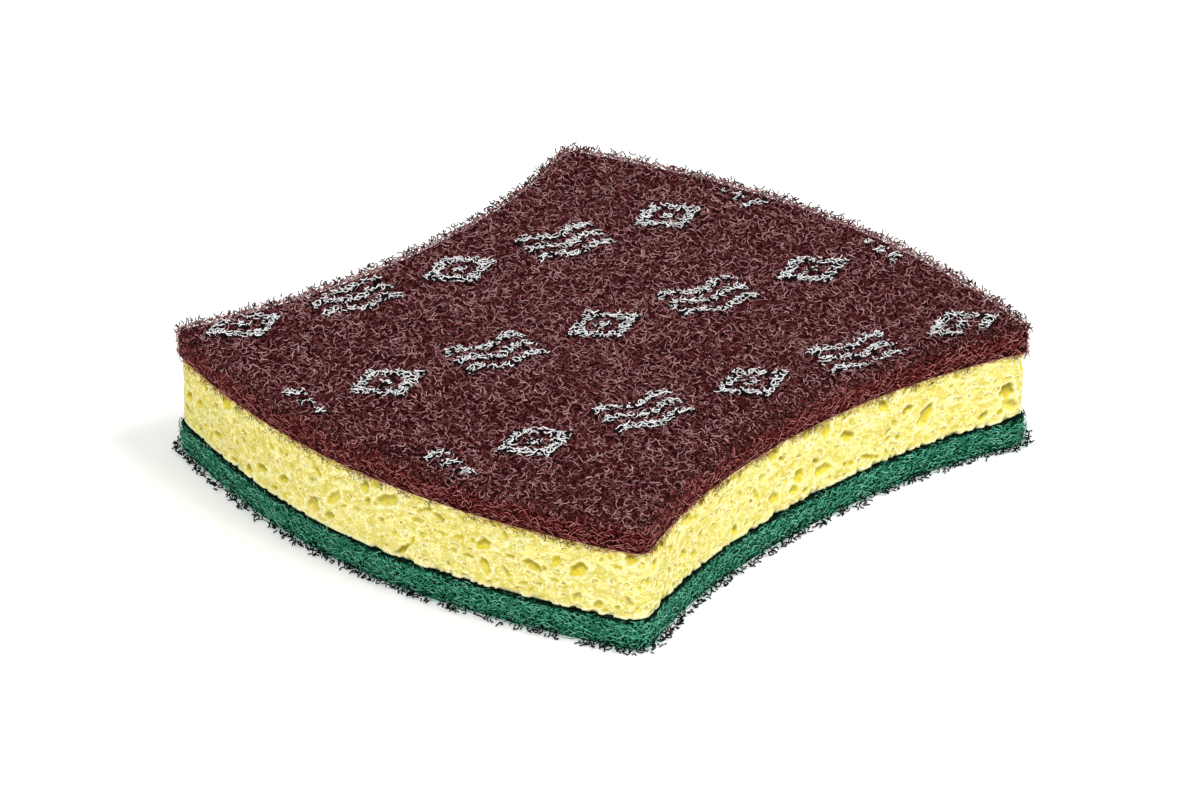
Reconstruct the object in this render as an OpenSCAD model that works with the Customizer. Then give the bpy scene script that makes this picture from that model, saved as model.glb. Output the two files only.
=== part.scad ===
// Three-layer hand scouring pad: a cellulose sponge between two non-woven abrasive webs.
// Millimetres. +X runs along the pad, +Z is up, and the origin is under its centre.

/* [Outline] */
// Length of the sponge between the crests of its bowed ends
pad_length = 129.5; // [105:0.5:160]
// Width of the sponge across its corners, before they are rounded
pad_width = 118.5; // [95:0.5:140]
// How far each end bows out past the corners
end_bow = 11; // [5:0.5:14]
// How far each long side dips in at the waist
waist_dip = 11; // [5:0.5:14]
// Radius of the sponge's four upright corners
corner_r = 3.5; // [3:0.5:6]

/* [Layers] */
// Thickness of the coarse web, which the pad rests on
coarse_t = 5.7; // [4:0.1:8]
// Thickness of the sponge
sponge_t = 13.8; // [10:0.1:24]
// Thickness of the fine web on top
fine_t = 5.7; // [4.5:0.1:8]
// How far the coarse web stands out past the sponge
coarse_overhang = 0.8; // [0:0.1:1.5]
// How far the fine web stands out past the sponge
fine_overhang = 0.3; // [0:0.1:1.5]
// Radius that the die presses round the top of the fine web
fine_rim_r = 3; // [1:0.25:3.5]

/* [Pores] */
// Spacing of the open pores along the sponge's wall
pore_pitch = 9; // [7:0.5:14]
// Rows of pores up the wall
pore_rows = 2; // [1:1:3]
// Radius of the smallest pore
pore_min_r = 0.6; // [0.4:0.1:0.8]
// Radius of the largest pore
pore_max_r = 1.7; // [1:0.1:2]
// Choice of the random places and sizes
pore_seed = 7; // [1:1:99]

/* [Print] */
// Depth to which the white ink soaks into the fine web
ink_depth = 0.8; // [0.4:0.1:1.5]
// Length of each printed mark along its row
mark_length = 17; // [12:0.5:20]
// Width of each printed mark across its row
mark_width = 13; // [11:0.5:16]
// Width of the printed lines
line_w = 2.5; // [1.5:0.1:2.8]
// Spacing of the marks along a row
mark_pitch = 23; // [21:0.5:36]
// Spacing of the rows
row_pitch = 34; // [24:0.5:45]
// Angle of the rows to the pad's length
row_angle = -17; // [-45:1:45]

/* [Hidden] */
$fn = 48;
arc_steps = 16; // flats along each of the four long arcs
corner_steps = 6; // flats round each corner
rim_steps = 4; // flats up the rounded rim
rim_wall = 0.1; // least radius left inside the rim at a corner
print_margin = 0.2; // bare strip between the print and the rim
pore_wall = 0.4; // sponge left between a pore and a bonded face
pore_jitter = 0.3; // how far a pore strays along the wall, as a share of the pitch
twin_share = 0.4; // share of the pores that are two balls run together
twin_size = 0.8; // size of the second ball
wave_swell = 1.1; // how far a wavy line swings to each side
wave_turn = 540; // degrees of wave in one line
wave_steps = 12; // straight pieces in one line
past = 1; // how far a cut runs past the surface

half_l = pad_length / 2;
half_w = pad_width / 2;
corner_x = half_l - end_bow;
sponge_z = coarse_t;
fine_z = coarse_t + sponge_t;
top_z = fine_z + fine_t;
rim_r = min(fine_rim_r, corner_r + fine_overhang - rim_wall - print_margin);

// Radius of the arc over a chord, from how far it rises
function arc_radius(chord, rise) = (chord * chord / 4 + rise * rise) / (2 * rise);

end_r = arc_radius(pad_width, end_bow);
waist_r = arc_radius(2 * corner_x, waist_dip);
end_centre = [half_l - end_r, 0];
waist_centre = [0, half_w - waist_dip + waist_r];

// Where a circle about a and one about b cross, on the right of the line from a to b
function crossing(a, ra, b, rb) =
    let (
        line = b - a,
        span = norm(line),
        along = (ra * ra - rb * rb + span * span) / (2 * span),
        aside = sqrt(ra * ra - along * along),
        way = line / span
    )
    a + way * along + [way[1], -way[0]] * aside;

// Centre of the rounding of the +X +Y corner, which touches the end's arc and the waist's
corner_centre = crossing(end_centre, end_r - corner_r, waist_centre, waist_r + corner_r);
next_corner_centre = [-corner_centre[0], corner_centre[1]];
from_end = corner_centre - end_centre;
to_waist = waist_centre - corner_centre;
end_half_angle = atan2(from_end[1], from_end[0]);
waist_half_angle = atan2(-to_waist[0], to_waist[1]);

// The points of an arc, without its last
function arc(centre, r, from, to, steps) =
    [for (step = [0:steps - 1])
        let (turn = from + (to - from) * step / steps)
        centre + r * [cos(turn), sin(turn)]];

// The +X end, a corner, the +Y waist and the next corner, all grown outwards by a distance
function half_outline(grow) = concat(
    arc(end_centre, end_r + grow, -end_half_angle, end_half_angle, arc_steps),
    arc(corner_centre, corner_r + grow, end_half_angle, 90 + waist_half_angle, corner_steps),
    arc(waist_centre, waist_r - grow, waist_half_angle - 90, -waist_half_angle - 90, arc_steps),
    arc(next_corner_centre, corner_r + grow, 90 - waist_half_angle, 180 - end_half_angle, corner_steps)
);

function outline(grow) = let (half = half_outline(grow)) concat(half, -half);

// A layer with an upright edge
module layer(z, thick, grow = 0) {
    translate([0, 0, z]) linear_extrude(thick) polygon(outline(grow));
}

// What rounding takes off a layer's top edge: a ring whose section is given by insets and heights
module rim_waste(z, grow) {
    round = [for (step = [0:rim_steps])
        let (turn = 90 * step / rim_steps)
        [rim_r * (1 - sin(turn)), rim_r * (cos(turn) - 1)]];
    section = concat(round, [[-past, -rim_r], [-past, past], [rim_r, past]]);
    points = [for (ring = section, p = outline(grow - ring[0])) [p[0], p[1], z + ring[1]]];
    count = len(points) / len(section);
    faces = [for (low = [0:count:len(points) - count], i = [0:count - 1])
        let (next = (i + 1) % count, high = (low + count) % len(points))
        [low + i, high + i, high + next, low + next]];
    polyhedron(points, faces);
}

// A layer whose top edge is rounded
module rimmed_layer(z, thick, grow) {
    difference() {
        layer(z, thick, grow);
        rim_waste(z + thick, grow);
    }
}

// The sponge's four walls, each with its centre, radius, middle angle and half angle
walls = [
    [end_centre, end_r, 0, end_half_angle],
    [waist_centre, waist_r, -90, waist_half_angle],
    [-end_centre, end_r, 180, end_half_angle],
    [-waist_centre, waist_r, 90, waist_half_angle]
];

// The open pores of one wall, each a ball or two that run together
module wall_pores(wall, seed) {
    wall_r = wall[1];
    wall_length = wall_r * wall[3] * PI / 90;
    columns = floor(wall_length / pore_pitch);
    random = rands(0, 1, columns * pore_rows * 4, seed);
    for (column = [0:columns - 1], row = [0:pore_rows - 1]) {
        first = 4 * (column * pore_rows + row);
        r = pore_min_r + (pore_max_r - pore_min_r) * pow(random[first], 3);
        stray = pore_jitter * (2 * random[first + 1] - 1);
        place = (column + 0.5 + stray) * wall_length / columns - wall_length / 2;
        margin = r + pore_wall;
        z = sponge_z + margin + (sponge_t - 2 * margin) * (row + random[first + 2]) / pore_rows;
        for (twin = random[first + 3] < twin_share ? [0, 1] : [0]) {
            turn = wall[2] + (place + twin * r) / wall_r * 180 / PI;
            centre = wall[0] + wall_r * [cos(turn), sin(turn)];
            translate([centre[0], centre[1], z]) sphere(r * (twin == 1 ? twin_size : 1));
        }
    }
}

// A lozenge frame round a small solid lozenge
module lozenge_mark() {
    module lozenge(share) {
        reach = share / 2 * [mark_length, mark_width];
        polygon([[reach[0], 0], [0, reach[1]], [-reach[0], 0], [0, -reach[1]]]);
    }
    inside = 1 - 2 * line_w * norm([mark_length, mark_width]) / (mark_length * mark_width);
    difference() {
        lozenge(1);
        lozenge(inside);
    }
    lozenge(inside / 2);
}

// Three wavy lines side by side
module wave_mark() {
    line = [for (step = [0:wave_steps])
        let (share = step / wave_steps)
        [mark_length * (share - 0.5), wave_swell * sin(wave_turn * share)]];
    half_line = [0, line_w / 2];
    lower = [for (p = line) p - half_line];
    upper = [for (i = [wave_steps:-1:0]) line[i] + half_line];
    for (row = [-1:1])
        translate([0, row * (mark_width - line_w - 2 * wave_swell) / 2])
            polygon(concat(lower, upper));
}

// The printed marks, on the flat of the top
module marks() {
    rows = floor(half_w / row_pitch);
    places = ceil(half_l / mark_pitch);
    intersection() {
        polygon(outline(fine_overhang - rim_r - print_margin));
        rotate(row_angle)
            for (row = [-rows:rows], place = [-places:places])
                translate([(place + row / 2) * mark_pitch, row * row_pitch])
                    if ((row + place) % 2 == 0) lozenge_mark(); else wave_mark();
    }
}

// What the ink reaches, from its depth up
module printed_zone(height) {
    translate([0, 0, top_z - ink_depth]) linear_extrude(height) marks();
}

module coarse_web() {
    color("seagreen") layer(0, coarse_t, coarse_overhang);
}

module sponge_core() {
    color("khaki") difference() {
        layer(sponge_z, sponge_t);
        for (i = [0:3]) wall_pores(walls[i], pore_seed + i);
    }
}

module fine_web() {
    color("maroon") difference() {
        rimmed_layer(fine_z, fine_t, fine_overhang);
        printed_zone(ink_depth + past);
    }
}

module white_print() {
    color("white") printed_zone(ink_depth);
}

coarse_web();
sponge_core();
fine_web();
white_print();
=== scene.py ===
"""A hand scouring pad: a green coarse web, a cellulose sponge and a printed maroon fine web.

Metres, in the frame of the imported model. +X runs along the pad, +Z is up.
"""

import math

import bmesh
import bpy
import numpy as np
from mathutils import Matrix, Vector, noise


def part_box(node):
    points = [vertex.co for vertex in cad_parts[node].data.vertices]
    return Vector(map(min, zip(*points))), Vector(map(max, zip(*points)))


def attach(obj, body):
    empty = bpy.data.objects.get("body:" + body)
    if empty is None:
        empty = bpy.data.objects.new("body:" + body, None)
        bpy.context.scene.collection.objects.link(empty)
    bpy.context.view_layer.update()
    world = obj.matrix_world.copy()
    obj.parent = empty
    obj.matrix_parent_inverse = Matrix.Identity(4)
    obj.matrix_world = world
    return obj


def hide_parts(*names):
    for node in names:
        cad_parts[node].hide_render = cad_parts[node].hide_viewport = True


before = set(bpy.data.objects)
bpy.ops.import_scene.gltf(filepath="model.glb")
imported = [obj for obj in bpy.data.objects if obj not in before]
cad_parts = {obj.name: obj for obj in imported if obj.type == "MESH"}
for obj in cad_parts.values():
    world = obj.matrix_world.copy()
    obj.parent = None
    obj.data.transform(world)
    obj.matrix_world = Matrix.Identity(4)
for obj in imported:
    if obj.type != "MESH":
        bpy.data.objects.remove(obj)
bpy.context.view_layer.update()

MM = 0.001
WHITE = (1, 1, 1, 1)

# The die that cuts the pad
PAD_LENGTH = 129.5 * MM
PAD_WIDTH = 118.5 * MM
END_BOW = 11 * MM
WAIST_DIP = 11 * MM
CORNER_RADIUS = 3.5 * MM
FINE_CORNER = 2.4 * MM
SPONGE_CORNER = 4.2 * MM
COARSE_OVERHANG = 0.8 * MM
FINE_OVERHANG = 0.3 * MM
# How much fuller the middle of each side is, low down and above the sponge
LOW_SWELL = 1.5 * MM
TOP_SWELL = 0.4 * MM

_, coarse_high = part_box("coarse_web")
sponge_low, sponge_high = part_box("sponge_core")
fine_low, fine_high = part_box("fine_web")


def srgb(red, green, blue):
    """A colour written as it looks on a screen, from 0 to 255, for a colour socket."""
    shares = [value / 255 for value in (red, green, blue)]
    linear = [s / 12.92 if s <= 0.04045 else ((s + 0.055) / 1.055) ** 2.4 for s in shares]
    return (*linear, 1.0)


# ---------------------------------------------------------------------------
# Nodes


class Socket:
    """An output of a node. Python's operators on it add Math nodes."""

    def __init__(self, maker, socket):
        self.maker = maker
        self.socket = socket

    def other(self, name):
        """Another output of the same node."""
        return Socket(self.maker, self.socket.node.outputs[name])

    def maths(self, operation, *others):
        return self.maker.maths(operation, self, *others)

    def __add__(self, other):
        return self.maths("ADD", other)

    def __radd__(self, other):
        return self.maker.maths("ADD", other, self)

    def __sub__(self, other):
        return self.maths("SUBTRACT", other)

    def __rsub__(self, other):
        return self.maker.maths("SUBTRACT", other, self)

    def __mul__(self, other):
        return self.maths("MULTIPLY", other)

    def __rmul__(self, other):
        return self.maker.maths("MULTIPLY", other, self)

    def __truediv__(self, other):
        return self.maths("DIVIDE", other)

    def __pow__(self, other):
        return self.maths("POWER", other)

    def __abs__(self):
        return self.maths("ABSOLUTE")


class NodeMaker:
    """Adds nodes to a tree."""

    def __init__(self, tree):
        self.tree = tree

    def add(self, kind, settings=None, inputs=None, output=0):
        """A node with its settings, then the values or links of its sockets."""
        node = self.tree.nodes.new(kind)
        for name, value in (settings or {}).items():
            if name == "stops":
                self.set_stops(node.color_ramp.elements, value)
            else:
                setattr(node, name, value)
        for name, value in (inputs or {}).items():
            if isinstance(value, Socket):
                self.tree.links.new(value.socket, node.inputs[name])
            else:
                node.inputs[name].default_value = value
        return Socket(self, node.outputs[output]) if len(node.outputs) else node

    def set_stops(self, elements, stops):
        while len(elements) < len(stops):
            elements.new(1)
        for element, (place, value) in zip(elements, stops):
            element.position = place
            element.color = value

    def maths(self, operation, *values):
        settings = {"operation": operation}
        return self.add("ShaderNodeMath", settings, dict(enumerate(values)))

    def vector(self, operation, *values, output=0):
        settings = {"operation": operation}
        return self.add("ShaderNodeVectorMath", settings, dict(enumerate(values)), output)

    def scaled(self, vector, factor):
        return self.add(
            "ShaderNodeVectorMath", {"operation": "SCALE"}, {0: vector, "Scale": factor}
        )

    def joined(self, x=0.0, y=0.0, z=0.0):
        """A vector of three numbers."""
        return self.add("ShaderNodeCombineXYZ", {}, {0: x, 1: y, 2: z})

    def split(self, vector):
        """A vector's X, with its Y and Z as the node's other outputs."""
        return self.add("ShaderNodeSeparateXYZ", {}, {0: vector})

    def seen(self):
        """Whether a ray comes from the eye, straight or by way of gloss or glass."""
        path = self.add("ShaderNodeLightPath")
        straight_or_gloss = path.maths("MAXIMUM", path.other("Is Glossy Ray"))
        return straight_or_gloss.maths("MAXIMUM", path.other("Is Transmission Ray"))

    def step(self, value, low, high, to_low=0.0, to_high=1.0):
        """A smooth step between two values."""
        inputs = {0: value, 1: low, 2: high, 3: to_low, 4: to_high}
        return self.add("ShaderNodeMapRange", {"interpolation_type": "SMOOTHSTEP"}, inputs)


class Finish(NodeMaker):
    """A material, in the making."""

    def __init__(self, name):
        self.material = bpy.data.materials.new(name)
        self.material.use_nodes = True
        super().__init__(self.material.node_tree)
        self.tree.nodes.clear()
        self.place = self.add("ShaderNodeTexCoord").other("Object")

    def attribute(self, name):
        return self.add("ShaderNodeAttribute", {"attribute_name": name}).other("Fac")

    def noise(self, scale, detail=2.0, rough=0.5, stretch=(1, 1, 1), shift=0.0, output=0):
        place = self.place
        if shift or stretch != (1, 1, 1):
            inputs = {"Vector": place, "Location": (shift, shift, shift), "Scale": stretch}
            place = self.add("ShaderNodeMapping", {"vector_type": "POINT"}, inputs)
        inputs = {"Vector": place, "Scale": scale, "Detail": detail, "Roughness": rough}
        return self.add("ShaderNodeTexNoise", {}, inputs, output)

    def mix(self, share, low, high):
        """Two colours, mixed."""
        return self.add("ShaderNodeMix", {"data_type": "RGBA"}, {0: share, 6: low, 7: high}, 2)

    def bump(self, height, distance, strength=1.0, under=None):
        inputs = {"Height": height, "Distance": distance, "Strength": strength}
        if under:
            inputs["Normal"] = under
        return self.add("ShaderNodeBump", {}, inputs)

    def done(self, colour, roughness, normal, constants):
        """Links the surface, with the values that are the same all over on its own sockets."""
        inputs = {"Base Color": colour, "Roughness": roughness, "Normal": normal}
        inputs.update(constants)
        surface = self.add("ShaderNodeBsdfPrincipled", {}, inputs)
        self.add("ShaderNodeOutputMaterial", {}, {"Surface": surface})
        return self.material


# ---------------------------------------------------------------------------
# The outline that the die cuts


def arc_radius(chord, rise):
    return (chord * chord / 4 + rise * rise) / (2 * rise)


half_length = PAD_LENGTH / 2
half_width = PAD_WIDTH / 2
end_radius = arc_radius(PAD_WIDTH, END_BOW)
waist_radius = arc_radius(2 * (half_length - END_BOW), WAIST_DIP)
end_centre = np.array([half_length - end_radius, 0])
waist_centre = np.array([0, half_width - WAIST_DIP + waist_radius])


def crossing(a, radius_a, b, radius_b):
    """Where two circles cross, on the right of the line from a to b."""
    span = np.linalg.norm(b - a)
    way = (b - a) / span
    along = (radius_a**2 - radius_b**2 + span**2) / (2 * span)
    aside = math.sqrt(radius_a**2 - along**2)
    return a + way * along + np.array([way[1], -way[0]]) * aside


def arc(centre, radius, grow, start, stop, spacing):
    """Points and outward directions along an arc, without its last point."""
    steps = max(3, round(abs(stop - start) * radius / spacing))
    turn = start + (stop - start) * np.arange(steps) / steps
    out = np.stack([np.cos(turn), np.sin(turn)], 1)
    points = centre + (radius + grow) * out
    return points, out


def swell_at(z):
    """How far the middle of each side stands out at a height."""
    share = min(1.0, max(0.0, (z - sponge_low.z) / (sponge_high.z - sponge_low.z)))
    return LOW_SWELL + (TOP_SWELL - LOW_SWELL) * share


def fullness(points):
    """How much of the swell each point of an arc has: none at its ends, all at its middle."""
    return np.sin(np.arange(len(points)) / len(points) * math.pi) ** 2


def die_outline(grow, z, spacing, corner_radius):
    """The outline at a height, grown outwards, anticlockwise, and its outward directions."""
    corner_centre = crossing(
        end_centre, end_radius - corner_radius, waist_centre, waist_radius + corner_radius
    )
    from_end = corner_centre - end_centre
    to_waist = waist_centre - corner_centre
    end_turn = math.atan2(from_end[1], from_end[0])
    waist_turn = math.atan2(-to_waist[0], to_waist[1])
    quarter = math.pi / 2
    next_centre = corner_centre * (-1, 1)
    end = arc(end_centre, end_radius, grow, -end_turn, end_turn, spacing)
    corner = arc(corner_centre, corner_radius, grow, end_turn, quarter + waist_turn, spacing)
    waist = arc(
        waist_centre, waist_radius, -grow, waist_turn - quarter, -waist_turn - quarter, spacing
    )
    last = arc(next_centre, corner_radius, grow, quarter - waist_turn, math.pi - end_turn, spacing)
    points = np.concatenate([end[0], corner[0], waist[0], last[0]])
    out = np.concatenate([end[1], corner[1], -waist[1], last[1]])
    shares = [fullness(end[0]), np.zeros(len(corner[0]))]
    shares += [fullness(waist[0]), np.zeros(len(last[0]))]
    points = points + out * np.concatenate(shares)[:, None] * swell_at(z)
    return np.concatenate([points, -points]), np.concatenate([out, -out])


# ---------------------------------------------------------------------------
# Meshes

# Spacing of the points round a web
WEB_STEP = 1.2 * MM
RIM_STEPS = 6
# How far in from a web's rim the fan that closes it begins
LID_INSET = 1 * MM


def new_piece(name, mesh, finish):
    mesh.materials.clear()
    mesh.materials.append(finish)
    piece = bpy.data.objects.new(name, mesh)
    bpy.context.scene.collection.objects.link(piece)
    return piece


def settle(piece, slot, *nodes):
    """Puts a piece on the root body and hides the nodes that it stands for; its slot is not used.
    """
    if nodes:
        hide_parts(*nodes)
    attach(piece, "root")
    return piece


def lofted(name, rings, lids=True):
    """A mesh through rings of points that run round the pad, closed by a fan at each end."""
    rows, count = rings.shape[:2]
    start = np.arange(rows - 1)[:, None] * count
    here = np.arange(count)
    after = (here + 1) % count
    corners = [start + here, start + after, start + count + after, start + count + here]
    faces = np.stack(corners, 2).reshape(-1, 4).tolist()
    points = rings.reshape(-1, 3)
    if lids:
        middles = [rings[0].mean(0), rings[-1].mean(0)]
        first = len(points)
        last = (rows - 1) * count
        faces += np.stack([after, here, np.full(count, first)], 1).tolist()
        faces += np.stack([last + here, last + after, np.full(count, first + 1)], 1).tolist()
        points = np.concatenate([points, middles])
    mesh = bpy.data.meshes.new(name)
    mesh.from_pydata(points.tolist(), [], faces)
    mesh.shade_smooth()
    return mesh


def ring_at(grow, z, spacing, corner_radius):
    points, _ = die_outline(grow, z, spacing, corner_radius)
    return np.column_stack([points, np.full(len(points), z)])


def web_skin(name, low, high, grow, rim, corner_radius):
    """A web's closed body, with its top edge rounded by rim."""
    rings = [(grow, low), (grow, (low + high - rim) / 2)]
    for step in range(RIM_STEPS + 1):
        turn = math.pi / 2 * step / RIM_STEPS
        rings.append((grow - rim * (1 - math.cos(turn)), high - rim * (1 - math.sin(turn))))
    rings.append((grow - rim - LID_INSET, high))
    return lofted(name, np.array([ring_at(g, z, WEB_STEP, corner_radius) for g, z in rings]))


def edge_band(name, low, high, low_grow, high_grow, corner_radius):
    """A strip round an edge, for strands to grow on."""
    ends = ((low_grow, low), (high_grow, high))
    rings = np.array([ring_at(g, z, WEB_STEP, corner_radius) for g, z in ends])
    return lofted(name, rings, lids=False)


# ---------------------------------------------------------------------------
# Strands of the webs, grown over a skin

# Size of the bare patches, as a noise scale
PATCH_SCALE = 330.0
# Least distance between two strands, as a share of the mean, and what makes up for it
LEAST_SPACING = 0.7
CROWDING = 2.2
# How far apart in the noise two strands of unlike shade are
SHADE_SPREAD = 60.0
# A ray down on to the marks starts this far above a strand, and is this long
LOOK_FROM = 0.01
LOOK_DEPTH = 0.03
# Sides of a strand
STRAND_SIDES = 3
# What a strand's own shade takes of the width of its map, the rest being the way round it
SHADE_SHARE = 0.96

STRAND_INPUTS = {
    "Per Square Metre": ("NodeSocketFloat", 1e6),
    "Seed": ("NodeSocketInt", 1),
    "Bare Patches": ("NodeSocketFloat", 0.0),
    "Lowest Facing": ("NodeSocketFloat", -2.0),
    "Highest Facing": ("NodeSocketFloat", 2.0),
    "Curl Radius": ("NodeSocketFloat", 1.1 * MM),
    "Curl Turn": ("NodeSocketFloat", math.radians(150)),
    "Curl Points": ("NodeSocketInt", 6),
    "Shortest": ("NodeSocketFloat", 0.6),
    "Longest": ("NodeSocketFloat", 1.5),
    "Lean": ("NodeSocketFloat", math.radians(15)),
    "Heading Spread": ("NodeSocketFloat", math.pi),
    "Sunk": ("NodeSocketFloat", 0.0),
    "Raised": ("NodeSocketFloat", 0.5 * MM),
    "Waver": ("NodeSocketFloat", 0.4 * MM),
    "Waver Scale": ("NodeSocketFloat", 700.0),
    "Thickness": ("NodeSocketFloat", 0.12 * MM),
    "Lowest Point": ("NodeSocketFloat", 0.0),
    "Marks": ("NodeSocketObject", None),
    "Sunk In Marks": ("NodeSocketFloat", 0.0),
    "Kept In Marks": ("NodeSocketFloat", 0.0),
    "Ragged": ("NodeSocketFloat", 0.0),
    "Finish": ("NodeSocketMaterial", None),
}


def strand_tree():
    """Curled strands that lie on a skin, each a short bent tube."""
    tree = bpy.data.node_groups.new("strands_on_skin", "GeometryNodeTree")
    tree.interface.new_socket("Skin", in_out="INPUT", socket_type="NodeSocketGeometry")
    for name, (kind, value) in STRAND_INPUTS.items():
        socket = tree.interface.new_socket(name, in_out="INPUT", socket_type=kind)
        if value is not None:
            socket.default_value = value
    tree.interface.new_socket("Strands", in_out="OUTPUT", socket_type="NodeSocketGeometry")
    make = NodeMaker(tree)
    given = make.add("NodeGroupInput").other

    def random(low, high, salt):
        inputs = {2: low, 3: high, 8: given("Seed") + salt}
        return make.add("FunctionNodeRandomValue", {"data_type": "FLOAT"}, inputs, 1)

    def moved(geometry, **how):
        return make.add("GeometryNodeSetPosition", {}, {"Geometry": geometry, **how})

    def stored(geometry, name, value, kind="FLOAT", domain="POINT"):
        settings = {"data_type": kind, "domain": domain}
        inputs = {"Geometry": geometry, "Name": name, "Value": value}
        return make.add("GeometryNodeStoreNamedAttribute", settings, inputs)

    def named(name):
        return make.add("GeometryNodeInputNamedAttribute", {"data_type": "FLOAT"}, {"Name": name})

    # Where strands grow
    facing = make.add("GeometryNodeInputNormal").other("True Normal")
    facing_up = make.split(facing).other("Z")
    above = facing_up.maths("GREATER_THAN", given("Lowest Facing"))
    below = facing_up.maths("LESS_THAN", given("Highest Facing"))
    patch = make.add("ShaderNodeTexNoise", {}, {"Scale": PATCH_SCALE, "Detail": 1.0})
    bare = patch.maths("LESS_THAN", given("Bare Patches"))
    scattered = make.add(
        "GeometryNodeDistributePointsOnFaces",
        {"distribute_method": "POISSON"},
        {
            "Mesh": given("Skin"),
            "Selection": above * below,
            "Distance Min": given("Per Square Metre") ** -0.5 * LEAST_SPACING,
            "Density Max": given("Per Square Metre") * CROWDING,
            "Density Factor": 1.0 - bare,
            "Seed": given("Seed"),
        },
    )
    normal = scattered.other("Normal")
    lift = make.scaled(normal, random(given("Sunk"), given("Raised"), 4))
    placed = moved(scattered, Offset=lift)

    # Which way each one lies
    upright = make.add("FunctionNodeAlignRotationToVector", {"axis": "Z"}, {"Vector": normal})
    level = make.vector("CROSS_PRODUCT", (0, 0, 1), normal)
    faced = make.add(
        "FunctionNodeAlignRotationToVector",
        {"axis": "X", "pivot_axis": "Z"},
        {"Rotation": upright, "Vector": level},
    )
    turns = make.joined(
        random(-1.0, 1.0, 1) * given("Lean"),
        random(-1.0, 1.0, 2) * given("Lean"),
        random(-1.0, 1.0, 3) * given("Heading Spread"),
    )
    turned = make.add(
        "FunctionNodeRotateRotation",
        {"rotation_space": "LOCAL"},
        {"Rotation": faced, "Rotate By": make.add("FunctionNodeEulerToRotation", {}, {0: turns})},
    )

    # The curl that each one is
    radius = given("Curl Radius")
    curl = make.add(
        "GeometryNodeCurveArc",
        {"mode": "RADIUS"},
        {
            "Resolution": given("Curl Points"),
            "Radius": radius,
            "Start Angle": math.pi / 2 - given("Curl Turn") / 2,
            "Sweep Angle": given("Curl Turn"),
        },
    )
    copies = make.add(
        "GeometryNodeInstanceOnPoints",
        {},
        {
            "Points": placed,
            "Instance": moved(curl, Offset=make.joined(y=radius * -1.0)),
            "Rotation": turned,
            "Scale": random(given("Shortest"), given("Longest"), 5),
        },
    )
    shaded = stored(copies, "shade", random(0.0, 1.0, 6), domain="INSTANCE")
    curves = make.add("GeometryNodeRealizeInstances", {}, {0: shaded})

    # What bends it
    shade = named("shade")
    place = make.add("GeometryNodeInputPosition")
    wave = make.add(
        "ShaderNodeTexNoise",
        {"noise_dimensions": "4D"},
        {
            "Vector": place,
            "W": shade * SHADE_SPREAD,
            "Scale": given("Waver Scale"),
            "Detail": 0.0,
        },
        1,
    )
    sway = make.vector("SUBTRACT", wave, (0.5, 0.5, 0.5))
    bent = moved(curves, Offset=make.scaled(sway, given("Waver") * 2.0))

    # What the printed marks do to it
    stray = make.scaled(sway, given("Ragged") * 2.0)
    above_it = make.vector("ADD", make.vector("ADD", place, stray), (0, 0, LOOK_FROM))
    marks = make.add("GeometryNodeObjectInfo", {}, {"Object": given("Marks")}).other("Geometry")
    in_mark = make.add(
        "GeometryNodeRaycast",
        {},
        {
            "Target Geometry": marks,
            "Source Position": above_it,
            "Ray Direction": (0, 0, -1),
            "Ray Length": LOOK_DEPTH,
        },
    )
    sunk = moved(bent, Offset=make.joined(z=in_mark * given("Sunk In Marks") * -1.0))
    outside = (1.0 - in_mark) * given("Kept In Marks")
    kept = make.add(
        "GeometryNodeDeleteGeometry",
        {"domain": "POINT"},
        {"Geometry": sunk, "Selection": outside.maths("GREATER_THAN", 0.5)},
    )
    parts = make.split(place)
    height = parts.other("Z").maths("MAXIMUM", given("Lowest Point"))
    laid = moved(kept, Position=make.joined(parts, parts.other("Y"), height))

    # The tube along it, with a map on which a strand is one colour along its length
    along = make.add("GeometryNodeSplineParameter")
    wire = make.add(
        "GeometryNodeCurvePrimitiveCircle",
        {"mode": "RADIUS"},
        {"Resolution": STRAND_SIDES, "Radius": given("Thickness")},
    )
    tubes = make.add(
        "GeometryNodeCurveToMesh",
        {},
        {
            "Curve": stored(laid, "along", along),
            "Profile Curve": stored(wire, "around", along),
            "Fill Caps": False,
        },
    )
    across = shade * SHADE_SHARE + named("around") * (1 - SHADE_SHARE)
    mapped = stored(tubes, "OFBake", make.joined(across, named("along")), "FLOAT2", "CORNER")
    whole = make.add("GeometryNodeRealizeInstances", {}, {0: mapped})
    smooth = make.add("GeometryNodeSetShadeSmooth", {}, {0: whole})
    finished = make.add(
        "GeometryNodeSetMaterial", {}, {"Geometry": smooth, "Material": given("Finish")}
    )
    make.add("NodeGroupOutput", {}, {0: finished})
    return tree


STRANDS = strand_tree()


def grown(name, skin, finish, sizes):
    """A plain mesh of strands over a skin."""
    guide = bpy.data.objects.new(name + "_guide", skin)
    bpy.context.scene.collection.objects.link(guide)
    modifier = guide.modifiers.new("strands", "NODES")
    modifier.node_group = STRANDS
    values = dict(sizes, Finish=finish)
    for item in STRANDS.interface.items_tree:
        if item.in_out == "INPUT" and item.name in values:
            modifier[item.identifier] = values[item.name]
    bpy.context.view_layer.update()
    graph = bpy.context.evaluated_depsgraph_get()
    mesh = bpy.data.meshes.new_from_object(guide.evaluated_get(graph))
    guide.modifiers.remove(modifier)
    bpy.data.objects.remove(guide)
    mesh.name = name
    return new_piece(name, mesh, finish)


# ---------------------------------------------------------------------------
# Finishes


# How far a strand's roughness strays either way
ROUGHNESS_STRAY = 0.08
# The drawn strands of a web's body: scale and shift of the first layer, and what each adds
LAYER_SCALE, LAYER_SCALE_STEP = 620, 90
LAYER_SHIFT, LAYER_SHIFT_STEP = 0.1, 0.27
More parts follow.
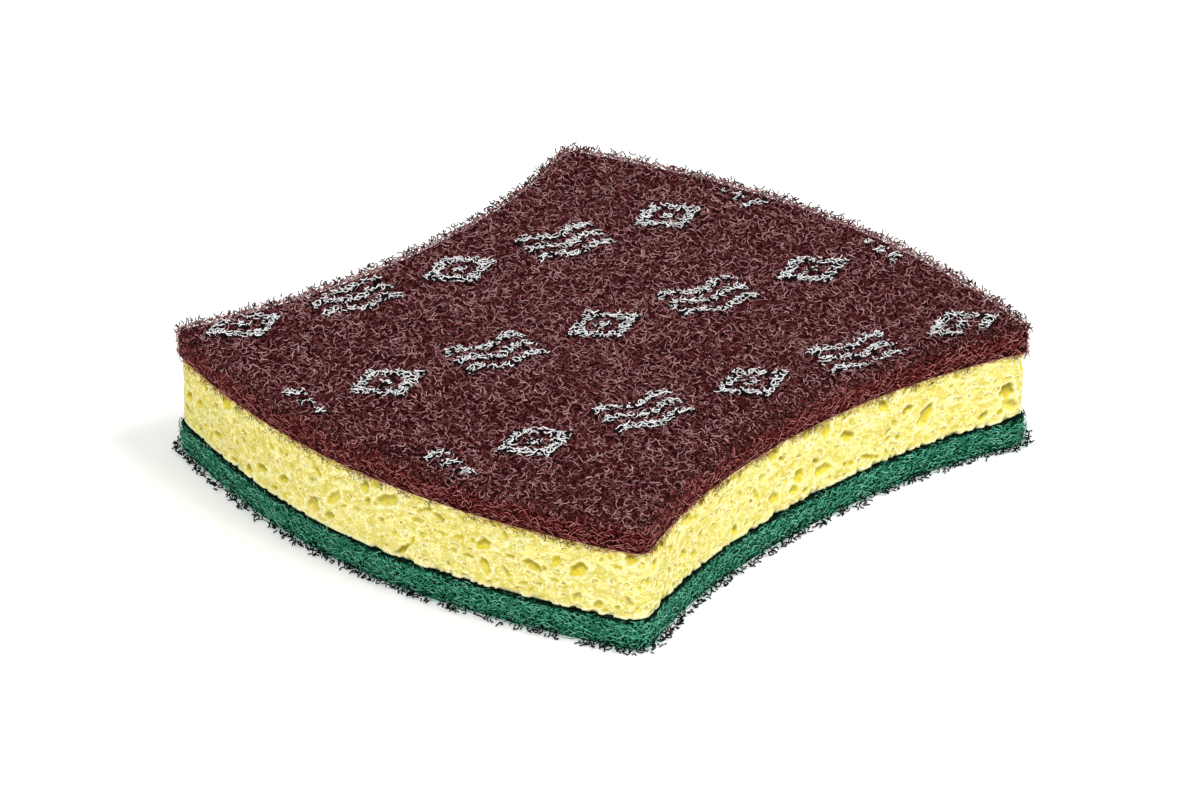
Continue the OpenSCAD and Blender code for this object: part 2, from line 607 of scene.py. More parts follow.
# How wide a drawn strand is, and its shadow, each from where it is full to where it ends
LINE_EDGE = (0.012, 0.034)
SHADOW_EDGE = (0.03, 0.08)
# The painted shade below a joint starts this far below it, is full this far below it, and strays
JOINT_SHADE_START = 0.25 * MM
JOINT_SHADE_FULL = 0.02 * MM
JOINT_SHADE_RAGGED = 1.0 * MM
# Higher than any web, for a body with no joint above it
NO_JOINT = 1.0
# How far below the joint the coarse web's body ends
BODY_BELOW_JOINT = 0.02 * MM


def strand_finish(name, dark, middle, light, roughness):
    """Bonded nylon strands, each of one shade."""
    finish = Finish(name)
    shade = finish.attribute("shade")
    ramp = [(0.0, dark), (0.5, middle), (1.0, light)]
    colour = finish.add("ShaderNodeValToRGB", {"stops": ramp}, {0: shade})
    grit = finish.noise(9000, 1.0)
    rough = finish.step(
        grit, 0.3, 0.7, roughness - ROUGHNESS_STRAY, roughness + ROUGHNESS_STRAY
    )
    constants = {"Specular IOR Level": 0.06}
    return finish.done(colour, rough, finish.bump(grit, 0.02 * MM, 0.4), constants)


def web_finish(name, deep, strands, joint=NO_JOINT):
    """The body of a web: strands drawn over it in layers, each with a painted shadow, and painted
    shade up to the joint above it.
    """
    finish = Finish(name)
    colour = deep
    relief = 0.0
    for layer, strand in enumerate(strands):
        scale = LAYER_SCALE + LAYER_SCALE_STEP * layer
        wander = finish.noise(scale, 0.6, 0.5, shift=LAYER_SHIFT + LAYER_SHIFT_STEP * layer)
        aside = abs(wander - 0.5)
        line = 1.0 - finish.step(aside, *LINE_EDGE)
        # A painted shadow round each drawn strand, over the layers below it
        shadow = 1.0 - finish.step(aside, *SHADOW_EDGE)
        colour = finish.mix(line, finish.mix(shadow * 0.7, colour, deep), strand)
        relief = line.maths("MAXIMUM", relief * 0.6)
    height = finish.split(finish.place).other("Z")
    # Painted shade: near-black below the joint with the part above, with a ragged edge
    ragged = finish.noise(900, 2.0, 0.6, shift=0.7) * JOINT_SHADE_RAGGED - JOINT_SHADE_RAGGED / 2
    shaded = finish.step(height + ragged, joint - JOINT_SHADE_START, joint - JOINT_SHADE_FULL)
    colour = finish.mix(shaded * 0.95, colour, srgb(2, 8, 6))
    patches = finish.noise(140, 2.0, 0.6, shift=0.5)
    rough = finish.step(patches, 0.3, 0.7, 0.72, 0.92)
    normal = finish.bump(relief, 0.25 * MM, 0.9)
    return finish.done(colour, rough, normal, {"Specular IOR Level": 0.04})


# Each body is darker than its strands, and its lower drawn strands are darker than the upper: the
# web's own colour with painted shade between the strands
maroon_body = web_finish(
    "maroon_web_body",
    srgb(24, 0, 0),
    [srgb(46, 2, 4), srgb(62, 12, 14), srgb(78, 24, 26), srgb(94, 38, 40)],
)
# The green body has painted shade below its joint with the sponge
green_body = web_finish(
    "green_web_body",
    srgb(2, 34, 22),
    [srgb(12, 76, 54), srgb(34, 108, 80), srgb(58, 142, 110), srgb(84, 172, 140)],
    coarse_high.z - BODY_BELOW_JOINT,
)
# A near-black sheet under the ink: painted shadow between the white strands
ink_shadow_body = web_finish(
    "ink_shadow", srgb(5, 1, 2), [srgb(16, 6, 8), srgb(38, 22, 24)]
)
maroon_strands = strand_finish(
    "maroon_strands", srgb(74, 16, 18), srgb(132, 74, 76), srgb(216, 170, 170), 0.65
)
# Darker than the strands above them: the web's maroon with painted shade on the lowest layer of
# strands
maroon_deep_strands = strand_finish(
    "maroon_deep_strands", srgb(46, 0, 2), srgb(70, 16, 18), srgb(98, 44, 46), 0.75
)
maroon_side_strands = strand_finish(
    "maroon_side_strands", srgb(110, 26, 26), srgb(158, 80, 78), srgb(214, 146, 140), 0.75
)
maroon_ridge_strands = strand_finish(
    "maroon_ridge_strands", srgb(100, 26, 24), srgb(158, 80, 76), srgb(208, 144, 138), 0.75
)
# Darker than the web's own strands: the maroon with painted shade on the strands that stand out
# past the rim
shaded_maroon_fuzz = strand_finish(
    "shaded_maroon_fuzz", srgb(24, 5, 6), srgb(48, 16, 16), srgb(92, 46, 46), 0.7
)
maroon_fringe = strand_finish(
    "maroon_fringe", srgb(56, 14, 4), srgb(100, 52, 28), srgb(168, 128, 66), 0.8
)
white_strands = strand_finish(
    "white_ink_strands", srgb(234, 234, 238), srgb(255, 255, 255), srgb(255, 255, 255), 0.5
)
green_strands = strand_finish(
    "green_strands", srgb(18, 118, 86), srgb(84, 182, 146), srgb(154, 232, 202), 0.65
)
# Near-black instead of green: painted shade on the fuzz under the web and in the joint below the
# sponge
shaded_green_fuzz = strand_finish(
    "shaded_green_fuzz", srgb(2, 4, 3), srgb(4, 10, 8), srgb(16, 46, 36), 0.7
)


# The scale of each size of cell, the share that is there, how gold it is, and how strong the
# painted shadow in olive under its upper lip is
CELL_SIZES = (
    (330.0, 0.3, 0.6, 0.4),
    (500.0, 0.3, 0.85, 0.8),
    (800.0, 0.2, 0.75, 0.6),
)
# How wide the least cell is, what the widest adds, and where its edge and its rim lie
CELL_LEAST, CELL_MORE = 0.18, 0.24
CELL_EDGE = (0.0, 0.05)
CELL_RIM = (-0.14, -0.05)
# Scale and shift of the thin cell walls that show as pale wisps, and how wide a wisp is
WISP_SIZES = ((420, 0.3), (800, 0.8))
WISP_EDGE = (0.008, 0.022)
# How far the cells are bent out of round, and squashed in height
CELL_WARP = 2.2 * MM
CELL_SQUASH = 1.5
# How far down a cell its upper lip shades it, over the cell's scale
LIP_SHIFT = 0.16
# The painted highlight along the lower brink of the sponge, above its underside
BRINK_START = 1.3 * MM
BRINK_FULL = 0.5 * MM


def open_cells(finish, place, scale, share):
    """Round open cells of a size, of which only a share is there, and their rims."""
    cells = finish.add("ShaderNodeTexVoronoi", {}, {"Vector": place, "Scale": scale})
    picked = finish.split(cells.other("Color"))
    there = picked.maths("LESS_THAN", share)
    room = CELL_LEAST + picked.other("Y") * CELL_MORE - cells
    return finish.step(room, *CELL_EDGE) * there, finish.step(room, *CELL_RIM) * there


def sponge_finish():
    """Cellulose, pale where it is cut, with gold cells: painted shade darkens them further down a
    pore, a painted shadow in olive lies under their upper lip, and a painted highlight runs along
    the lower brink.
    """
    finish = Finish("cellulose_sponge")
    mottle = finish.noise(230, 3.0, 0.6)
    streaks = finish.noise(430, 3.0, 0.6, stretch=(1, 1, 1.7), shift=0.2)
    pale = finish.mix(
        finish.step(mottle, 0.35, 0.65), srgb(228, 214, 104), srgb(240, 228, 136)
    )
    colour = finish.mix(finish.step(streaks, 0.5, 0.62) * 0.6, pale, srgb(250, 242, 174))
    grain = finish.noise(2300, 3.0, 0.65, shift=0.4)
    colour = finish.mix(finish.step(grain, 0.46, 0.34) * 0.45, colour, srgb(202, 186, 82))
    colour = finish.mix(finish.step(grain, 0.55, 0.68) * 0.5, colour, srgb(255, 252, 208))
    for scale, shift in WISP_SIZES:
        walls = finish.noise(scale, 1.2, 0.5, stretch=(1, 1, 1.6), shift=shift)
        wisp = 1.0 - finish.step(abs(walls - 0.5), *WISP_EDGE)
        under = finish.step(walls, 0.48, 0.5) * finish.step(walls, 0.46, 0.49)
        colour = finish.mix(wisp * 0.75, colour, srgb(255, 249, 202))
        colour = finish.mix(under * (1.0 - wisp) * 0.5, colour, srgb(204, 188, 76))

    warp = finish.noise(800, 3.0, 0.6, output=1)
    squashed = finish.vector("MULTIPLY", finish.place, (1, 1, CELL_SQUASH))
    bent = finish.vector("MULTIPLY_ADD", warp, (CELL_WARP, CELL_WARP, CELL_WARP), squashed)
    holes = 0.0
    for scale, share, yellow, shade in CELL_SIZES:
        inside, rim = open_cells(finish, bent, scale, share)
        higher = finish.vector("ADD", bent, (0, 0, LIP_SHIFT / scale))
        above, _ = open_cells(finish, higher, scale, share)
        colour = finish.mix(rim * 0.5, colour, srgb(255, 252, 210))
        colour = finish.mix(inside * yellow, colour, srgb(222, 202, 58))
        # Painted shadow in olive under each cell's upper lip
        colour = finish.mix(inside * (1.0 - above) * shade, colour, srgb(136, 118, 42))
        holes = inside.maths("MAXIMUM", holes)

    colour = finish.mix(finish.attribute("brim") * 0.6, colour, srgb(255, 252, 206))
    # Darker gold further down a pore: painted shade
    deep = finish.step(finish.attribute("pore"), 0.25, 0.6)
    gold = finish.mix(deep, srgb(221, 203, 52), srgb(196, 176, 36))
    gold = finish.mix(finish.step(streaks, 0.5, 0.66) * 0.3, gold, srgb(244, 232, 124))
    gold = finish.mix(finish.step(grain, 0.5, 0.64) * 0.35, gold, srgb(240, 228, 110))
    # Painted shadow in olive under a pore's upper lip
    gold = finish.mix(finish.attribute("lip") * 0.8, gold, srgb(126, 110, 34))
    colour = finish.mix(finish.attribute("gold"), colour, gold)
    height = finish.split(finish.place).other("Z")
    # Painted highlight along the lower brink
    brink = finish.step(height, sponge_low.z + BRINK_START, sponge_low.z + BRINK_FULL)
    colour = finish.mix(brink * 0.65, colour, srgb(255, 252, 206))

    rough = finish.step(mottle, 0.3, 0.7, 0.78, 0.95)
    soft_bump = finish.bump(streaks, 0.3 * MM, 0.45)
    normal = finish.bump(1.0 - holes, 0.25 * MM, 0.7, under=soft_bump)
    normal = finish.bump(grain, 0.08 * MM, 0.6, under=normal)
    return finish.done(colour, rough, normal, {"Specular IOR Level": 0.05})


# ---------------------------------------------------------------------------
# The sponge

# Spacing of the points over the wall
WALL_STEP = 0.32 * MM
# How many pores, their least and most half length, and how deep they are for their half height
PORE_SIZES = [
    (60, 1.5 * MM, 2.4 * MM, 0.6),
    (170, 0.95 * MM, 1.5 * MM, 0.65),
    (300, 0.6 * MM, 0.95 * MM, 0.7),
    (420, 0.35 * MM, 0.60 * MM, 0.8),
]
DEEPEST_PORE = 1.6 * MM
PORE_SEED = 12
# How high a pore is for its length, how far it tilts, and how far its depth strays
PORE_FLATNESS = (0.35, 0.75)
PORE_TILT = 0.6
DEPTH_STRAY = (0.5, 1.5)
# How far a pore's outline is out of round, by its two and by its five lobes
TWO_LOBES = 0.2
FIVE_LOBES = 0.12
# How near two pores may be, and how far round a pore the wall is changed, in half lengths
PORE_SPACING = 0.85
PORE_REACH = 1.3
# Where the pale brim round a pore lies and how wide it is, where 1 is the pore's outline
BRIM_AT, BRIM_WIDTH = 1.2, 0.25
# Where a pore's gold ends, how softly, and how strong it is
GOLD_ENDS, GOLD_SOFTNESS = 1.06, 0.14
GOLD_STRENGTH = (0.7, 1.0)
# The wall's unevenness as noise: its scale, and how far it goes in
LUMP_SCALE, LUMP_DEPTH = 190, 0.25 * MM
ROUGH_SCALE, ROUGH_DEPTH = 520, 0.12 * MM
# The notches along the lower edge: waves and nicks, each read from its own plane of noise
WAVE_SCALE, WAVE_HEIGHT, WAVE_PLANE = 330, 1.9 * MM, 0.03
NICK_SCALE, NICK_HEIGHT, NICK_PLANE = 900, 1.6 * MM, 0.07
MEAN_NOTCH = 0.15 * MM
LEAST_NOTCH = 0.05 * MM
NOTCH_DEPTH = 0.9 * MM
# The wear along the upper edge
WORN_HEIGHT = 0.8 * MM
WORN_DEPTH = 0.8 * MM
# How far in the flat lids begin
SPONGE_LID_INSET = 2.5 * MM
# The painted shadow under a pore's upper lip is looked for this many rows up, and is full at this
# depth
LIP_ROWS = 3
LIP_DEPTH = 0.45 * MM


def pored_depth(along, heights, total):
    """How deep the pores cut at each height and place along the wall, how gold, and their brims."""
    random = np.random.default_rng(PORE_SEED)
    depth = np.zeros((len(heights), len(along)))
    brim = np.zeros_like(depth)
    gold = np.zeros_like(depth)
    placed = []
    for count, least, most, deep in PORE_SIZES:
        for _ in range(count):
            middle = random.uniform(0, total)
            z = random.uniform(heights[0], heights[-1])
            long = random.uniform(least, most)
            short = long * random.uniform(*PORE_FLATNESS)
            turn = random.normal(0, PORE_TILT)
            lobes = random.uniform(0, 2 * math.pi, 2)
            deepest = min(short * deep * random.uniform(*DEPTH_STRAY), DEEPEST_PORE)
            if any(
                math.hypot(middle - m, z - h) < PORE_SPACING * (long + r) for m, h, r in placed
            ):
                continue
            placed.append((middle, z, long))
            room = long * PORE_REACH
            first, last = np.searchsorted(heights, [z - room, z + room])
            reach = int(room / WALL_STEP) + 1
            nearest = int(np.searchsorted(along, middle))
            columns = np.arange(nearest - reach, nearest + reach + 1) % len(along)
            aside = (along[columns] - middle + total / 2) % total - total / 2
            up = heights[first:last, None] - z
            u = (aside * math.cos(turn) + up * math.sin(turn)) / long
            v = (up * math.cos(turn) - aside * math.sin(turn)) / short
            lobe = np.arctan2(v, u)
            two = TWO_LOBES * np.sin(2 * lobe + lobes[0])
            five = FIVE_LOBES * np.sin(5 * lobe + lobes[1])
            out = np.hypot(u, v) / (1 + two + five)
            bowl = deepest * np.clip(1 - out**4, 0, 1)
            window = np.ix_(np.arange(first, last), columns)
            depth[window] = np.maximum(depth[window], bowl)
            pale = np.clip(1 - np.abs(out - BRIM_AT) / BRIM_WIDTH, 0, 1)
            brim[window] = np.maximum(brim[window], pale)
            inside = np.clip((GOLD_ENDS - out) / GOLD_SOFTNESS, 0, 1)
            gold[window] = np.maximum(gold[window], random.uniform(*GOLD_STRENGTH) * inside)
    return depth, gold, brim


def wall_ring(z, cut):
    """The wall at a height, with its pores cut, its edges worn and its face uneven."""
    points, out = die_outline(0, z, WALL_STEP, SPONGE_CORNER)
    flat = np.column_stack([points, np.full(len(points), z)])
    lumps = np.array([noise.noise(Vector(p) * LUMP_SCALE) for p in flat])
    rough = np.array([noise.fractal(Vector(p) * ROUGH_SCALE, 0.9, 2.0, 2) for p in flat])
    waves = np.array([noise.noise(Vector((*p, WAVE_PLANE)) * WAVE_SCALE) for p in points])
    nicks = np.array([noise.noise(Vector((*p, NICK_PLANE)) * NICK_SCALE) for p in points])
    near_edge = max(0.0, 1 - (sponge_high.z - z) / WORN_HEIGHT) * np.abs(lumps)
    notch = MEAN_NOTCH + WAVE_HEIGHT * waves + NICK_HEIGHT * nicks
    notched = np.clip(1 - (z - sponge_low.z) / notch.clip(LEAST_NOTCH), 0, 1)
    worn = WORN_DEPTH * near_edge + NOTCH_DEPTH * notched**0.5
    inward = cut + worn + LUMP_DEPTH * (lumps + 0.4) + ROUGH_DEPTH * (rough + 0.5)
    return np.column_stack([points - out * inward[:, None], flat[:, 2]])


def sponge_piece():
    low, high = sponge_low.z, sponge_high.z
    points, _ = die_outline(0, low, WALL_STEP, SPONGE_CORNER)
    steps = np.linalg.norm(np.roll(points, -1, 0) - points, axis=1)
    along = np.concatenate([[0], np.cumsum(steps)[:-1]])
    heights = np.linspace(low, high, round((high - low) / WALL_STEP) + 1)
    depth, gold, brim = pored_depth(along, heights, steps.sum())
    wall = [wall_ring(z, cut) for z, cut in zip(heights, depth)]
    inset, _ = die_outline(-SPONGE_LID_INSET, low, WALL_STEP, SPONGE_CORNER)
    lids = [np.column_stack([inset, np.full(len(inset), z)]) for z in (low, high)]
    mesh = lofted("sponge", np.array([lids[0], *wall, lids[1]]))
    # The painted shadow under each pore's upper lip, where the wall above is shallower
    above = np.concatenate([depth[LIP_ROWS:], np.zeros((LIP_ROWS, depth.shape[1]))])
    lip = np.clip((depth - above) / LIP_DEPTH, 0, 1)
    shares = {"pore": depth / DEEPEST_PORE, "gold": gold, "lip": lip, "brim": brim}
    lid = np.zeros(len(inset))
    for key, values in shares.items():
        flat = np.concatenate([lid, values.ravel(), lid, (0, 0)])
        mesh.attributes.new(key, "FLOAT", "POINT").data.foreach_set("value", flat)
    piece = settle(
        new_piece("cellulose_sponge", mesh, sponge_finish()), "sponge_core", "sponge_core"
    )


# ---------------------------------------------------------------------------
# The printed marks

# How ragged the dark sheet of painted shadow under the ink is, as noise, and the spacing of the
# points on its border
GROUND_SCALE, GROUND_RAGGED = 1100, 0.9 * MM
GROUND_STEP = 0.7 * MM
GROUND_THICK = 0.15 * MM
# Points nearer than this are one, and faces within this angle of each other are joined
SAME_POINT = 0.001 * MM
SAME_PLANE = 0.02
# The least upward part of a top face's normal
FACES_UP = 0.9


def mark_shapes():
    """The printed marks, as an object that strands are set against."""
    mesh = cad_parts["white_print"].data.copy()
    shapes = bpy.data.objects.new("mark_shapes", mesh)
    bpy.context.scene.collection.objects.link(shapes)
    return shapes


def mark_tops(mesh, z):
    """The marks' top faces, moved to a height."""
    work = bmesh.new()
    work.from_mesh(mesh)
    bmesh.ops.remove_doubles(work, verts=work.verts, dist=SAME_POINT)
    work.normal_update()
    sides = [face for face in work.faces if face.normal.z < FACES_UP]
    bmesh.ops.delete(work, geom=sides, context="FACES")
    for vertex in work.verts:
        vertex.co.z = z
    result = bpy.data.meshes.new("mark_tops")
    work.to_mesh(result)
    work.free()
    return result


def ink_bed(mesh):
    """A dark sheet of painted shadow under the ink, with a ragged border and a little thickness."""
    work = bmesh.new()
    work.from_mesh(mesh)
    bmesh.ops.dissolve_limit(
        work, angle_limit=SAME_PLANE, verts=work.verts, edges=work.edges
    )
    for edge in list(work.edges):
        cuts = int(edge.calc_length() / GROUND_STEP)
        if cuts:
            bmesh.ops.subdivide_edges(work, edges=[edge], cuts=cuts)
    for vertex in work.verts:
        place = vertex.co * GROUND_SCALE
        shift = Vector((noise.noise(place), noise.noise(place + Vector((7, 3, 1))), 0))
        vertex.co += shift * GROUND_RAGGED
    bmesh.ops.triangulate(work, faces=work.faces)
    bmesh.ops.solidify(work, geom=work.faces, thickness=GROUND_THICK)
    bmesh.ops.recalc_face_normals(work, faces=work.faces)
    result = bpy.data.meshes.new("ink_bed")
    work.to_mesh(result)
    work.free()
    return result


# ---------------------------------------------------------------------------
# The webs

# How far below the height of its strands the fine web's body ends, and how far in
FINE_BODY_BELOW = 0.9 * MM
FINE_BODY_INSET = 0.4 * MM
FINE_RIM = 1.5 * MM
# The same for the coarse web, whose body also stands clear of what it lies on
COARSE_BODY_INSET = 0.65 * MM
COARSE_RIM = 0.3 * MM
COARSE_CLEARANCE = 0.3 * MM
# How far below the top of the fine web the ink's strands are rooted, and the sheet of painted
# shadow under them lies
INK_BELOW = 0.25 * MM
GROUND_BELOW = 0.42 * MM


def coat(slot, name, skin, finish, sizes, *nodes):
    """Strands over a skin, on the root body."""
    settle(grown(name, skin, finish, sizes), slot, *nodes)


def fine_web_top(skin, marks):
    lower = {
        "Per Square Metre": 0.34e6,
        "Seed": 11,
        "Lowest Facing": 0.5,
        "Curl Radius": 0.8 * MM,
        "Curl Turn": math.radians(130),
        "Curl Points": 4,
        "Lean": math.radians(35),
        "Thickness": 0.1 * MM,
    }
    coat("fine_web", "fine_web_lower_strands", skin, maroon_deep_strands, lower)
    upper = {
        "Per Square Metre": 1.0e6,
        "Lowest Facing": 0.6,
        "Curl Radius": 0.66 * MM,
        "Curl Turn": math.radians(125),
        "Curl Points": 4,
        "Waver": 0.35 * MM,
        "Waver Scale": 1300.0,
        "Lean": math.radians(45),
        "Sunk": 0.4 * MM,
        "Raised": 0.9 * MM,
        "Thickness": 0.078 * MM,
        "Marks": marks,
        "Sunk In Marks": 0.6 * MM,
    }
    for layer, seed in (("upper", 23), ("top", 37)):
        name = f"fine_web_{layer}_strands"
        coat("fine_web", name, skin, maroon_strands, dict(upper, Seed=seed))


def fine_web_edges(skin):
    """The strands down the walls and in the rim, the fuzz past it and the fringe below."""
    low, high = fine_low.z, fine_high.z
    side = {
        "Per Square Metre": 3.0e6,
        "Seed": 41,
        "Lowest Facing": -0.3,
        "Highest Facing": 0.75,
        "Curl Turn": math.radians(62),
        "Curl Points": 4,
        "Heading Spread": math.radians(50),
        "Lean": math.radians(20),
        "Sunk": 0.1 * MM,
        "Raised": 0.6 * MM,
        "Waver": 0.3 * MM,
        "Waver Scale": 900.0,
        "Thickness": 0.062 * MM,
    }
    coat("fine_web", "fine_web_side_strands", skin, maroon_side_strands, side)
    ridge = {
        "Per Square Metre": 3.2e6,
        "Seed": 47,
        "Lowest Facing": 0.5,
        "Highest Facing": 0.95,
        "Curl Radius": 0.6 * MM,
        "Curl Turn": math.radians(110),
        "Curl Points": 4,
        "Lean": math.radians(35),
        "Sunk": 0.3 * MM,
        "Raised": 0.85 * MM,
        "Waver": 0.3 * MM,
        "Thickness": 0.065 * MM,
    }
    coat("fine_web", "fine_web_ridge_strands", skin, maroon_ridge_strands, ridge)
    # Near-black fuzz past the rim: painted shade
    fuzz = {
        "Per Square Metre": 1.8e6,
        "Seed": 53,
        "Bare Patches": 0.42,
        "Curl Radius": 0.55 * MM,
        "Curl Turn": math.radians(160),
        "Curl Points": 5,
        "Lean": math.radians(80),
        "Sunk": 0.3 * MM,
        "Raised": 1.3 * MM,
    }
    rim = edge_band(
        "rim_band", high - 1.6 * MM, high - 0.5 * MM, 0.1 * MM, -1.3 * MM, FINE_CORNER
    )
    coat("fine_web", "fine_web_fuzz", rim, shaded_maroon_fuzz, fuzz)
    fringe = {
        "Per Square Metre": 3.4e6,
        "Seed": 59,
        "Bare Patches": 0.49,
        "Curl Radius": 0.65 * MM,
        "Curl Turn": math.radians(110),
        "Curl Points": 4,
        "Heading Spread": math.radians(80),
        "Lean": math.radians(30),
        "Waver": 0.35 * MM,
        "Waver Scale": 1000.0,
        "Thickness": 0.062 * MM,
    }
    band = edge_band("fringe_band", low - 0.8 * MM, low + 0.4 * MM, 0.0, 0.0, FINE_CORNER)
    coat("fine_web", "fine_web_fringe", band, maroon_fringe, fringe)


def white_print(marks):
    high = fine_high.z
    bed = ink_bed(mark_tops(marks.data, high - GROUND_BELOW))
    settle(new_piece("ink_soaked_ground", bed, ink_shadow_body), "fine_web")
    ink = {
        "Per Square Metre": 1.5e6,
        "Seed": 61,
        "Curl Radius": 0.62 * MM,
        "Curl Turn": math.radians(170),
        "Curl Points": 5,
        "Lean": math.radians(22),
        "Shortest": 0.5,
        "Raised": 0.35 * MM,
        "Waver": 0.5 * MM,
        "Thickness": 0.1 * MM,
        "Marks": marks,
        "Kept In Marks": 1.0,
        "Ragged": 1.3 * MM,
    }
    tops = mark_tops(marks.data, high - INK_BELOW)
    coat("white_print", "white_ink_strands", tops, white_strands, ink, "white_print")


def fine_web():
    skin = web_skin(
        "fine_web_skin",
        fine_low.z,
        fine_high.z - FINE_BODY_BELOW,
        FINE_OVERHANG - FINE_BODY_INSET,
        FINE_RIM,
        FINE_CORNER,
    )
    body = settle(new_piece("fine_web_body", skin, maroon_body), "fine_web", "fine_web")
    marks = mark_shapes()
    fine_web_top(skin, marks)
    fine_web_edges(skin)
    white_print(marks)
    bpy.data.objects.remove(marks)


def coarse_web():
    high = coarse_high.z
    skin = web_skin(
        "coarse_web_skin",
        COARSE_CLEARANCE,
        high - BODY_BELOW_JOINT,
        COARSE_OVERHANG - COARSE_BODY_INSET,
        COARSE_RIM,
        CORNER_RADIUS,
    )
    body = settle(new_piece("coarse_web_body", skin, green_body), "coarse_web", "coarse_web")
    side = {
        "Per Square Metre": 2.8e6,
        "Seed": 71,
        "Lowest Facing": -0.5,
        "Highest Facing": 0.92,
        "Curl Turn": math.radians(58),
        "Curl Points": 4,
        "Heading Spread": math.radians(38),
        "Lean": math.radians(16),
        "Sunk": 0.2 * MM,
        "Raised": 0.7 * MM,
        "Waver": 0.3 * MM,
        "Waver Scale": 900.0,
        "Thickness": 0.058 * MM,
        "Lowest Point": 0.15 * MM,
    }
    coat("coarse_web", "coarse_web_side_strands", skin, green_strands, side)
    under = {
        "Per Square Metre": 0.11e6,
        "Seed": 83,
        "Highest Facing": -0.9,
        "Curl Points": 4,
        "Shortest": 1.0,
        "Longest": 1.9,
        "Raised": 0.3 * MM,
        "Lowest Point": 0.15 * MM,
    }
    coat("coarse_web", "coarse_web_under_strands", skin, green_strands, under)
    # Near-black fuzz along the underside: painted shade
    fuzz = {
        "Per Square Metre": 2.5e6,
        "Seed": 97,
        "Bare Patches": 0.4,
        "Curl Radius": 0.5 * MM,
        "Curl Turn": math.radians(170),
        "Curl Points": 5,
        "Lean": math.radians(80),
        "Raised": 1.2 * MM,
        "Thickness": 0.15 * MM,
        "Lowest Point": 0.2 * MM,
    }
    bottom = edge_band(
        "bottom_band", 0.1 * MM, 1.3 * MM, COARSE_OVERHANG, COARSE_OVERHANG, CORNER_RADIUS
    )
    coat("coarse_web", "coarse_web_bottom_fuzz", bottom, shaded_green_fuzz, fuzz)
    # Near-black loops along the joint with the sponge: painted shade
    loops = {
        "Per Square Metre": 2.4e6,
        "Seed": 101,
        "Bare Patches": 0.36,
        "Curl Radius": 0.38 * MM,
        "Curl Turn": math.radians(140),
        "Curl Points": 4,
        "Lean": math.radians(30),
        "Raised": 0.25 * MM,
        "Thickness": 0.085 * MM,
        "Lowest Point": 0.2 * MM,
    }
    upper = edge_band(
        "upper_band", high - 0.15 * MM, high + 0.25 * MM, 0.25 * MM, 0.1 * MM, CORNER_RADIUS
    )
    coat("coarse_web", "coarse_web_upper_fuzz", upper, shaded_green_fuzz, loops)


# ---------------------------------------------------------------------------
# Studio

# What the camera sees the floor glow with, and how far from the pad it turns plain white
FLOOR_GLOW = 0.25
WHITE_STARTS = 0.22
WHITE_FULL = 0.5
FLOOR_REACH = 3.0
# Strength of the air's light on the pad, and as the camera sees it
AIR_LIGHT = 0.5
AIR_SEEN = 1.0
# The lamps' places, sizes and powers, and what they point at
LAMPS = {
    "key": ((0.32, -0.68, 1.0), 0.7, 11.0),
    "fill": ((-0.9, -0.35, 0.6), 0.8, 6.6),
}
LAMP_TARGET = (0, 0, 0.01)
# The way to the camera, and how far off, how far left and how far up it stands
CAMERA_AZIMUTH = math.radians(-47.6)
CAMERA_ELEVATION = math.radians(27.3)
CAMERA_DISTANCE = 1.1664
CAMERA_LEFT = 0.62 * MM
CAMERA_UP = 8.23 * MM
SENSOR_WIDTH = 36
FOCAL_LENGTH = 186.43


def floor_finish():
    """A pale floor, which the camera sees lighter, and white away from the pad's shadow."""
    finish = Finish("pale_floor")
    grain = finish.noise(40, 2.0)
    colour = finish.mix(grain, srgb(236, 236, 235), srgb(242, 242, 241))
    surface = finish.add(
        "ShaderNodeBsdfDiffuse",
        {},
        {"Color": colour, "Normal": finish.bump(grain, 0.05 * MM, 0.1)},
    )
    glow = finish.add("ShaderNodeEmission", {}, {"Color": WHITE, "Strength": FLOOR_GLOW})
    lit = finish.add("ShaderNodeAddShader", {}, {0: surface, 1: glow})
    away = finish.step(
        finish.vector("LENGTH", finish.place, output=1), WHITE_STARTS, WHITE_FULL
    )
    white = finish.add("ShaderNodeEmission", {}, {"Color": WHITE, "Strength": 1.0})
    plain = finish.add("ShaderNodeMixShader", {}, {0: away, 1: lit, 2: white})
    both = finish.add("ShaderNodeMixShader", {}, {0: finish.seen(), 1: surface, 2: plain})
    finish.add("ShaderNodeOutputMaterial", {}, {"Surface": both})
    return finish.material


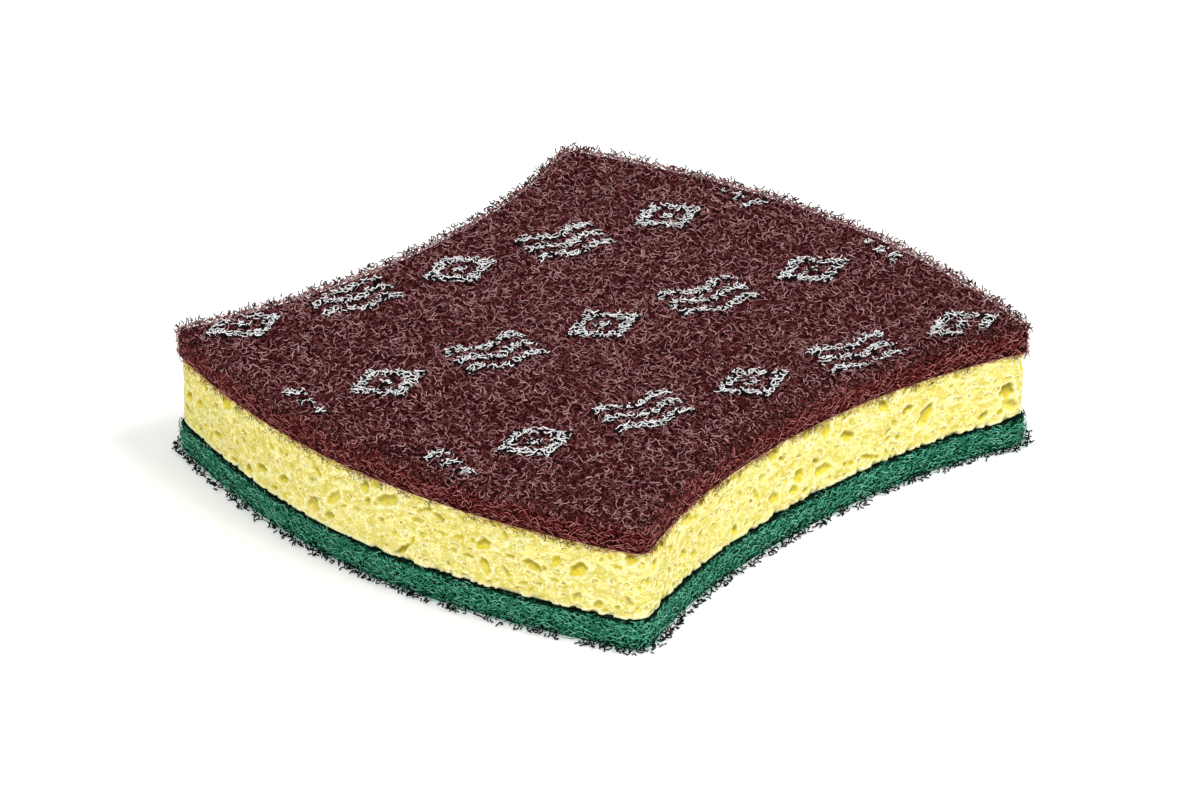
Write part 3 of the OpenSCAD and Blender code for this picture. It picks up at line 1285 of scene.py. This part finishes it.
def lamp(name, place, size, power):
    data = bpy.data.lights.new(name, "AREA")
    data.shape = "DISK"
    data.size = size
    data.energy = power
    light = bpy.data.objects.new(name, data)
    light.location = place
    way = Vector(LAMP_TARGET) - Vector(place)
    light.rotation_euler = way.to_track_quat("-Z", "Y").to_euler()
    bpy.context.scene.collection.objects.link(light)


def studio():
    far = FLOOR_REACH
    mesh = bpy.data.meshes.new("floor")
    mesh.from_pydata(
        [(-far, -far, 0), (far, -far, 0), (far, far, 0), (-far, far, 0)], [], [(0, 1, 2, 3)]
    )
    new_piece("floor", mesh, floor_finish())
    for name, (place, size, power) in LAMPS.items():
        lamp(name, place, size, power)
    world = bpy.data.worlds.new("studio_air")
    bpy.context.scene.world = world
    world.use_nodes = True
    world.node_tree.nodes.clear()
    make = NodeMaker(world.node_tree)
    soft = make.add("ShaderNodeBackground", {}, {"Color": WHITE, "Strength": AIR_LIGHT})
    white = make.add("ShaderNodeBackground", {}, {"Color": WHITE, "Strength": AIR_SEEN})
    both = make.add("ShaderNodeMixShader", {}, {0: make.seen(), 1: soft, 2: white})
    make.add("ShaderNodeOutputWorld", {}, {"Surface": both})
    bpy.context.scene.view_settings.view_transform = "Standard"


def camera():
    azimuth, elevation = CAMERA_AZIMUTH, CAMERA_ELEVATION
    level = Vector((math.sin(azimuth), -math.cos(azimuth), 0))
    back = level * math.cos(elevation) + Vector((0, 0, math.sin(elevation)))
    right = Vector((math.cos(azimuth), math.sin(azimuth), 0))
    up = back.cross(right)
    data = bpy.data.cameras.new("camera")
    data.sensor_width = SENSOR_WIDTH
    data.lens = FOCAL_LENGTH
    data.clip_start = 0.05
    data.clip_end = 20
    view = bpy.data.objects.new("camera", data)
    place = back * CAMERA_DISTANCE - right * CAMERA_LEFT + up * CAMERA_UP
    turn = Matrix((right, up, back)).transposed().to_4x4()
    view.matrix_world = Matrix.Translation(place) @ turn
    bpy.context.scene.collection.objects.link(view)
    bpy.context.scene.camera = view


camera()
sponge_piece()
fine_web()
coarse_web()
studio()
